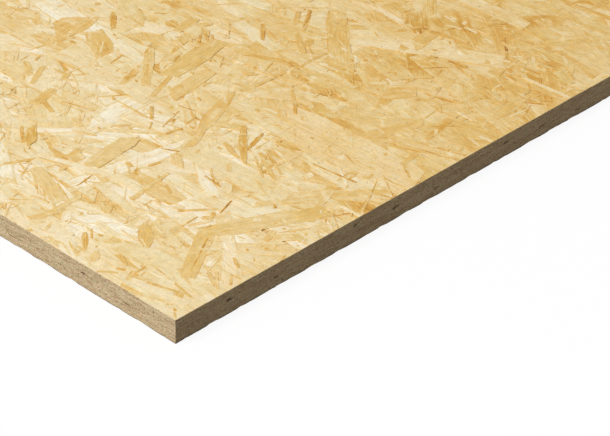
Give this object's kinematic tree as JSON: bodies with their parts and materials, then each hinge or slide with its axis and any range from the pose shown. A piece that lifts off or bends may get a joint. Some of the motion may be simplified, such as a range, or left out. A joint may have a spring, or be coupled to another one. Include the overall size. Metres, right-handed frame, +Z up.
{
  "type": "oriented strand board",
  "caption": "Flat rectangular sheet of square-edged oriented strand board, with pressed wood strands on both faces and sawn edges.",
  "frame": {"origin": "middle of the underside, at floor level", "axes": "+X along the sheet's length, the way its face strands run, +Y across it, +Z up out of its top face"},
  "size_m": [2.44, 1.22, 0.018],
  "materials": {
    "strand_wood": "matte pressed softwood strands in resin, with a faint satin on the faces"
  },
  "bodies": {
    "root": {"osb_panel": "strand_wood"}
  },
  "joints": []
}
